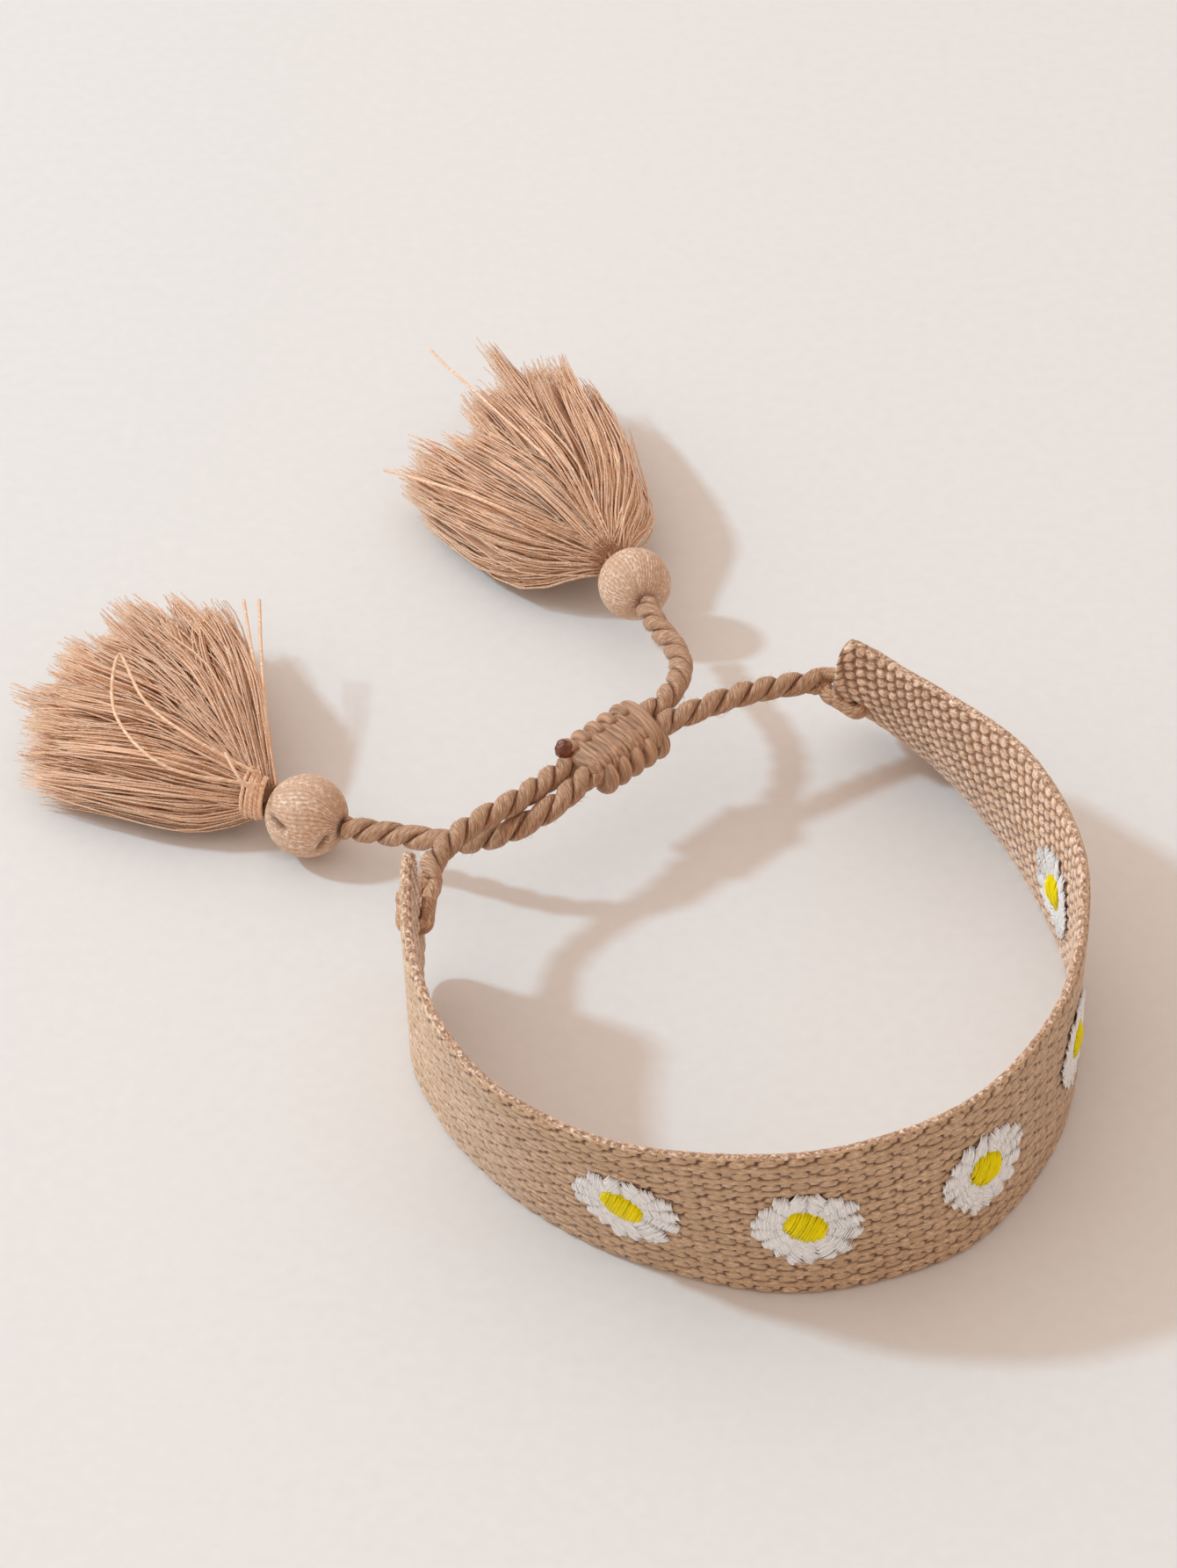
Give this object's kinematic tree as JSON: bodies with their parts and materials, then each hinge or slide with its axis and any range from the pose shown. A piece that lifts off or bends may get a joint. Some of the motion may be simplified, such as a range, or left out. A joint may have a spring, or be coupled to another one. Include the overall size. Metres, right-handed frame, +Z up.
{
  "type": "woven friendship bracelet",
  "caption": "Woven cotton bracelet band with embroidered daisies, standing open in a ring, tied by two twisted cords with a sliding knot, wrapped beads and thread tassels",
  "frame": {"origin": "Bottom centre of the band with its daisies, without the cords, knot, beads and tassels: the middle of its bounding box, on the surface that its lower edge stands on.", "axes": "+Z up, across the band's width. +Y away from the viewer, from the middle of the band's front towards its open back, along its longest extent. +X to the right."},
  "size_m": [0.079, 0.1003, 0.0158],
  "materials": {
    "band": "matte warp-faced cotton weave",
    "petals": "white satin-stitch thread",
    "eye": "yellow satin-stitch thread",
    "cord": "two-ply twisted cotton cord",
    "knot": "wrapped cotton cord with a sealed dark end",
    "bead": "thread wound from pole to pole",
    "tassel": "loose lustrous thread"
  },
  "bodies": {
    "root": {"band": "band", "daisy_1_petals": "petals", "daisy_2_petals": "petals", "daisy_3_petals": "petals", "daisy_4_petals": "petals", "daisy_5_petals": "petals", "daisy_1_petals_inside": "petals", "daisy_2_petals_inside": "petals", "daisy_3_petals_inside": "petals", "daisy_4_petals_inside": "petals", "daisy_5_petals_inside": "petals", "daisy_1_eye": "eye", "daisy_2_eye": "eye", "daisy_3_eye": "eye", "daisy_4_eye": "eye", "daisy_5_eye": "eye", "daisy_1_eye_inside": "eye", "daisy_2_eye_inside": "eye", "daisy_3_eye_inside": "eye", "daisy_4_eye_inside": "eye", "daisy_5_eye_inside": "eye", "cord_left": "cord", "cord_far": "cord", "cord_left_loop": "cord", "cord_far_loop": "cord", "sliding_knot": "knot", "left_bead": "bead", "far_bead": "bead", "left_tassel": "tassel", "far_tassel": "tassel"}
  },
  "joints": []
}
